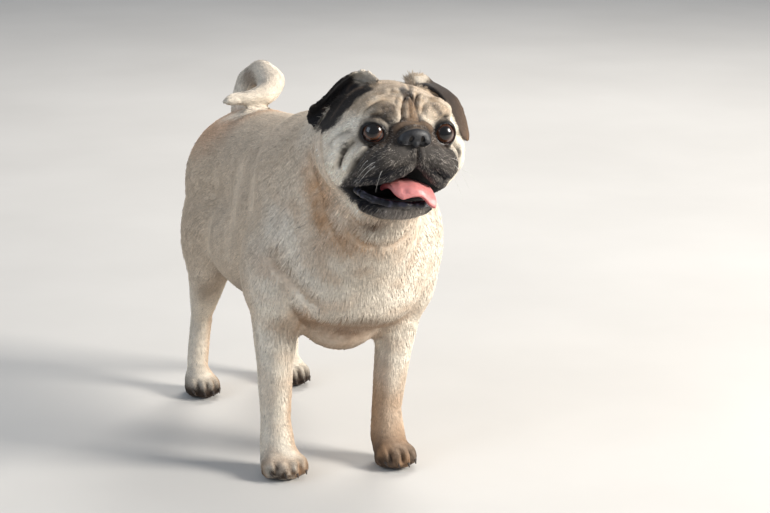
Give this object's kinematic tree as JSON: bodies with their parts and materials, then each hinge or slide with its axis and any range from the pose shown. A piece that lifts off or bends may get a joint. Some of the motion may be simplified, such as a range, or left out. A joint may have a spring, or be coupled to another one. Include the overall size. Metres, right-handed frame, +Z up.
{
  "type": "pug",
  "caption": "Standing pug with a curled tail, open mouth and folded ears: a still life-size animal that rests on the soles of its paws.",
  "frame": {"origin": "on the ground under the middle of the bounding box", "axes": "+Z up, the animal faces -Y, its left side is +X"},
  "size_m": [0.2044, 0.4612, 0.3974],
  "materials": {
    "coat": "short fawn coat, soft and matte",
    "paw_coat": "short pale coat, brown at the toes",
    "mask_coat": "short black coat flecked with grey",
    "ear_velvet": "black velvet",
    "eye": "wet and glossy",
    "nose_leather": "moist pebbled leather",
    "tongue": "moist pink",
    "claw_horn": "dark horn"
  },
  "bodies": {
    "root": {"head": "coat", "neck": "coat", "chest": "coat", "barrel": "coat", "rump": "coat", "tail_root": "coat", "tail_arch": "coat", "tail_fall": "coat", "tail_tip": "coat", "foreleg_upper_left": "coat", "forearm_left": "coat", "thigh_left": "coat", "hindleg_lower_left": "coat", "hock_left": "coat", "forepaw_left": "paw_coat", "hindpaw_left": "paw_coat", "ear_left": "ear_velvet", "eye_left": "eye", "claw_fore_left_1": "claw_horn", "claw_fore_left_2": "claw_horn", "claw_fore_left_3": "claw_horn", "claw_fore_left_4": "claw_horn", "claw_hind_left_1": "claw_horn", "claw_hind_left_2": "claw_horn", "claw_hind_left_3": "claw_horn", "claw_hind_left_4": "claw_horn", "foreleg_upper_right": "coat", "forearm_right": "coat", "thigh_right": "coat", "hindleg_lower_right": "coat", "hock_right": "coat", "forepaw_right": "paw_coat", "hindpaw_right": "paw_coat", "ear_right": "ear_velvet", "eye_right": "eye", "claw_fore_right_1": "claw_horn", "claw_fore_right_2": "claw_horn", "claw_fore_right_3": "claw_horn", "claw_fore_right_4": "claw_horn", "claw_hind_right_1": "claw_horn", "claw_hind_right_2": "claw_horn", "claw_hind_right_3": "claw_horn", "claw_hind_right_4": "claw_horn", "lower_jaw": "mask_coat", "nose": "nose_leather", "tongue": "tongue"}
  },
  "joints": []
}
